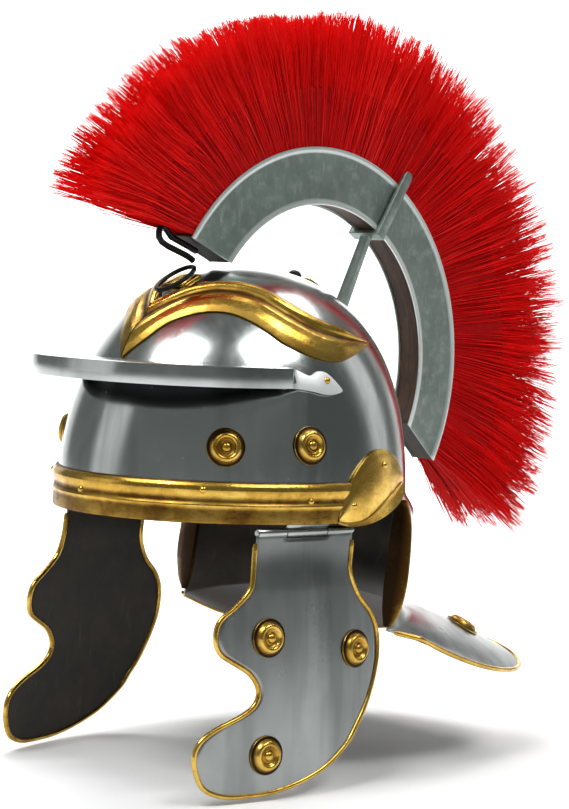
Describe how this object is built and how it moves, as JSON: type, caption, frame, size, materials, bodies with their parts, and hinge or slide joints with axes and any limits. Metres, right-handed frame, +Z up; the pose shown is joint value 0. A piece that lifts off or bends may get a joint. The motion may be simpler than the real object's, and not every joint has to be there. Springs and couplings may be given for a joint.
{
  "type": "legionary helmet",
  "caption": "Polished steel legionary helmet with brass trim, hinged cheek guards, a flared neck guard and a fore-and-aft arched crest of red horsehair.",
  "frame": {"origin": "middle of the head opening at the lower edge of the brow band, where a head holds it", "axes": "face along -Y, wearer's left along +X, +Z up towards the crown; symmetric about X = 0"},
  "size_m": [0.2226, 0.4398, 0.4875],
  "materials": {
    "polished_steel": "polished",
    "brass": "polished, lightly tarnished",
    "galvanised_sheet": "satin grey-green",
    "dark_wood": "matte",
    "black_iron": "satin black",
    "red_horsehair": "matte dyed hair"
  },
  "bodies": {
    "helmet": {"bowl": "polished_steel", "brow_guard": "polished_steel", "hinge_left": "polished_steel", "hinge_right": "polished_steel", "brow_band": "brass", "crown_plate": "brass", "hook_plate": "brass", "neck_edging": "brass", "band_rivet_front": "brass", "band_rivet_left": "brass", "band_rivet_right": "brass", "band_rivet_left_back": "brass", "band_rivet_right_back": "brass", "brow_guard_rivet_left": "brass", "brow_guard_rivet_right": "brass", "eyebrow_left": "brass", "eyebrow_right": "brass", "ear_guard_left": "brass", "ear_guard_right": "brass", "ear_rivet_top_left": "brass", "ear_rivet_top_right": "brass", "ear_rivet_front_left": "brass", "ear_rivet_front_right": "brass", "bowl_boss_front_left": "brass", "bowl_boss_front_right": "brass", "bowl_boss_back_left": "brass", "bowl_boss_back_right": "brass", "neck_boss_left": "brass", "neck_boss_right": "brass", "nape_edging_left": "brass", "nape_edging_right": "brass", "crest_box": "galvanised_sheet", "crest_fork": "galvanised_sheet", "crest_block": "dark_wood", "crown_stud": "black_iron", "hook_ring": "black_iron", "crest_hook": "black_iron", "plume": "red_horsehair"},
    "cheek_guard_left": {"cheek_left": "polished_steel", "cheek_edging_left": "brass", "cheek_boss_front_left": "brass", "cheek_boss_rear_left": "brass", "cheek_boss_low_left": "brass"},
    "cheek_guard_right": {"cheek_right": "polished_steel", "cheek_edging_right": "brass", "cheek_boss_front_right": "brass", "cheek_boss_rear_right": "brass", "cheek_boss_low_right": "brass"}
  },
  "joints": [
    {"name": "cheek_left_hinge", "type": "hinge", "parent": "helmet", "child": "cheek_guard_left", "pos_m": [0.09, -0.0305, -0.005], "axis": [0.1224, 0.9925, 0], "range_deg": [-80, 10]},
    {"name": "cheek_right_hinge", "type": "hinge", "parent": "helmet", "child": "cheek_guard_right", "pos_m": [-0.09, -0.0305, -0.005], "axis": [-0.1224, 0.9925, 0], "range_deg": [-10, 80]}
  ]
}
